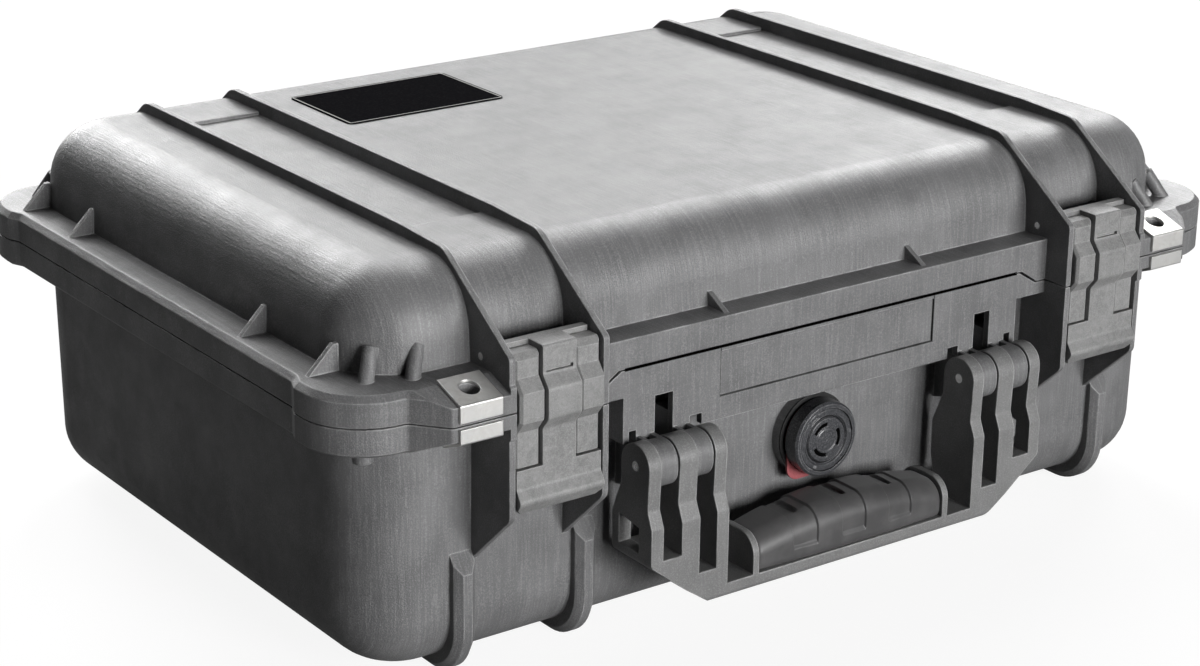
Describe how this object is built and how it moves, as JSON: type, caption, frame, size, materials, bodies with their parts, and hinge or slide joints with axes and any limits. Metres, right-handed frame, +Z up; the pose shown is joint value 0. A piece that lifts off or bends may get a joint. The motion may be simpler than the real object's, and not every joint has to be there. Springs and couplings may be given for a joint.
{
  "type": "hard case",
  "caption": "Moulded hard case with a hinged lid, double-throw latches, a fold-down handle with a rubber grip, padlock lugs and a pressure valve.",
  "frame": {"origin": "centre of the outline at the bottom of the resting ribs", "axes": "+X to the right seen from the front, -Y to the front where the latches and handle are, +Z up"},
  "size_m": [0.47, 0.3579, 0.176],
  "materials": {
    "case_plastic": "fine textured satin",
    "latch_plastic": "mottled satin",
    "handle_plastic": "smooth satin",
    "grip_rubber": "soft satin",
    "seal_rubber": "matte",
    "valve_plastic": "satin",
    "washer_red": "matte",
    "vent_membrane": "fine weave",
    "label_film": "gloss film with a pale border",
    "steel": "ground",
    "stainless": "brushed, folded sheet"
  },
  "bodies": {
    "base": {"base_shell": "case_plastic", "hinge_pin_left": "steel", "hinge_pin_right": "steel", "valve_body": "valve_plastic", "valve_seal": "washer_red", "valve_nut": "valve_plastic", "vent_disc": "vent_membrane", "lock_plate_base_left": "stainless", "lock_plate_base_right": "stainless"},
    "lid": {"lid_shell": "case_plastic", "lid_seal": "seal_rubber", "lid_label": "label_film", "lock_plate_lid_left": "stainless", "lock_plate_lid_right": "stainless", "latch_pin_left": "steel", "latch_pin_right": "steel"},
    "handle": {"handle_frame": "handle_plastic", "handle_grip": "grip_rubber", "handle_pin_left": "steel", "handle_pin_right": "steel"},
    "hook_left": {"latch_hook_left": "latch_plastic", "lever_pin_left": "steel"},
    "lever_left": {"latch_lever_left": "latch_plastic"},
    "hook_right": {"latch_hook_right": "latch_plastic", "lever_pin_right": "steel"},
    "lever_right": {"latch_lever_right": "latch_plastic"}
  },
  "joints": [
    {"name": "lid_hinge", "type": "hinge", "parent": "base", "child": "lid", "pos_m": [0, 0.1695, 0.1214], "axis": [-1, 0, 0], "range_deg": [0, 100]},
    {"name": "handle_pivot", "type": "hinge", "parent": "base", "child": "handle", "pos_m": [0, -0.168, 0.0835], "axis": [-1, 0, 0], "range_deg": [0, 160]},
    {"name": "hook_left_pivot", "type": "hinge", "parent": "lid", "child": "hook_left", "pos_m": [-0.14575, -0.1533, 0.1384], "axis": [-1, 0, 0], "range_deg": [0, 85]},
    {"name": "lever_left_pivot", "type": "hinge", "parent": "hook_left", "child": "lever_left", "pos_m": [-0.14575, -0.1675, 0.134], "axis": [-1, 0, 0], "range_deg": [0, 14]},
    {"name": "hook_right_pivot", "type": "hinge", "parent": "lid", "child": "hook_right", "pos_m": [0.14575, -0.1533, 0.1384], "axis": [-1, 0, 0], "range_deg": [0, 85]},
    {"name": "lever_right_pivot", "type": "hinge", "parent": "hook_right", "child": "lever_right", "pos_m": [0.14575, -0.1675, 0.134], "axis": [-1, 0, 0], "range_deg": [0, 14]}
  ]
}
